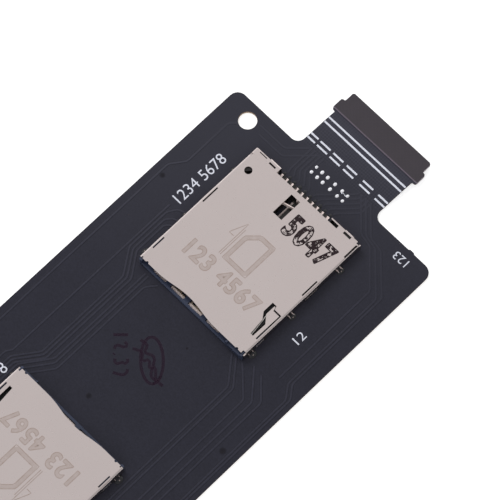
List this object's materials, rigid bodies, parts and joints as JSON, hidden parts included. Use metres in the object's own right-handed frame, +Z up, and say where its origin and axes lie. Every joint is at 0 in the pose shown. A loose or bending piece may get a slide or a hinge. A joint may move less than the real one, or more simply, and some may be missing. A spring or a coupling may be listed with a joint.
{
  "type": "sim card socket flex cable",
  "caption": "Flat board with flexible neck: push-push card sockets facing each other, and a low board-to-board plug under the tab.",
  "frame": {"origin": "centre of the locating hole on the plane that the board's back and the plug's mating face rest on", "axes": "+X across the board, +Y along it towards the neck and the tab, +Z up out of the side that carries the sockets"},
  "size_m": [0.0285, 0.0658, 0.0018],
  "materials": {
    "film": "dark coverlay film, low gloss",
    "laminate": "brown stiffener laminate",
    "tab_laminate": "brown-grey stiffener plate",
    "plug_plastic": "moulded black",
    "shell_steel": "stamped sheet, satin",
    "base_plastic": "moulded blue-black",
    "slider_plastic": "moulded black",
    "spring_steel": "bright spring steel",
    "contact_metal": "gold-plated strip"
  },
  "bodies": {
    "board": {"flex_circuit": "film", "board_stiffener": "laminate", "tab_stiffener": "tab_laminate", "plug_housing": "plug_plastic", "plug_contacts": "contact_metal", "plug_hold_downs": "spring_steel", "socket_1_shell": "shell_steel", "socket_1_base": "base_plastic", "socket_1_spring": "spring_steel", "socket_1_cam_pin": "spring_steel", "socket_1_switch_spring": "contact_metal", "socket_1_switch_post": "contact_metal", "socket_1_contact_1": "contact_metal", "socket_1_contact_2": "contact_metal", "socket_1_contact_3": "contact_metal", "socket_1_contact_4": "contact_metal", "socket_1_contact_5": "contact_metal", "socket_1_contact_6": "contact_metal", "socket_1_contact_7": "contact_metal", "socket_1_contact_8": "contact_metal", "socket_2_shell": "shell_steel", "socket_2_base": "base_plastic", "socket_2_spring": "spring_steel", "socket_2_cam_pin": "spring_steel", "socket_2_switch_spring": "contact_metal", "socket_2_switch_post": "contact_metal", "socket_2_contact_1": "contact_metal", "socket_2_contact_2": "contact_metal", "socket_2_contact_3": "contact_metal", "socket_2_contact_4": "contact_metal", "socket_2_contact_5": "contact_metal", "socket_2_contact_6": "contact_metal", "socket_2_contact_7": "contact_metal", "socket_2_contact_8": "contact_metal"},
    "slider_1": {"socket_1_slider": "slider_plastic"},
    "slider_2": {"socket_2_slider": "slider_plastic"}
  },
  "joints": [
    {"name": "socket_1_slide", "type": "slide", "parent": "board", "child": "slider_1", "axis": [0, 1, 0], "range_m": [0, 0.0036], "stiffness_N_per_m": 60, "springref_m": -0.004, "deforming": ["socket_1_spring"]},
    {"name": "socket_2_slide", "type": "slide", "parent": "board", "child": "slider_2", "axis": [0, -1, 0], "range_m": [0, 0.0036], "stiffness_N_per_m": 60, "springref_m": -0.004, "deforming": ["socket_2_spring"]}
  ]
}
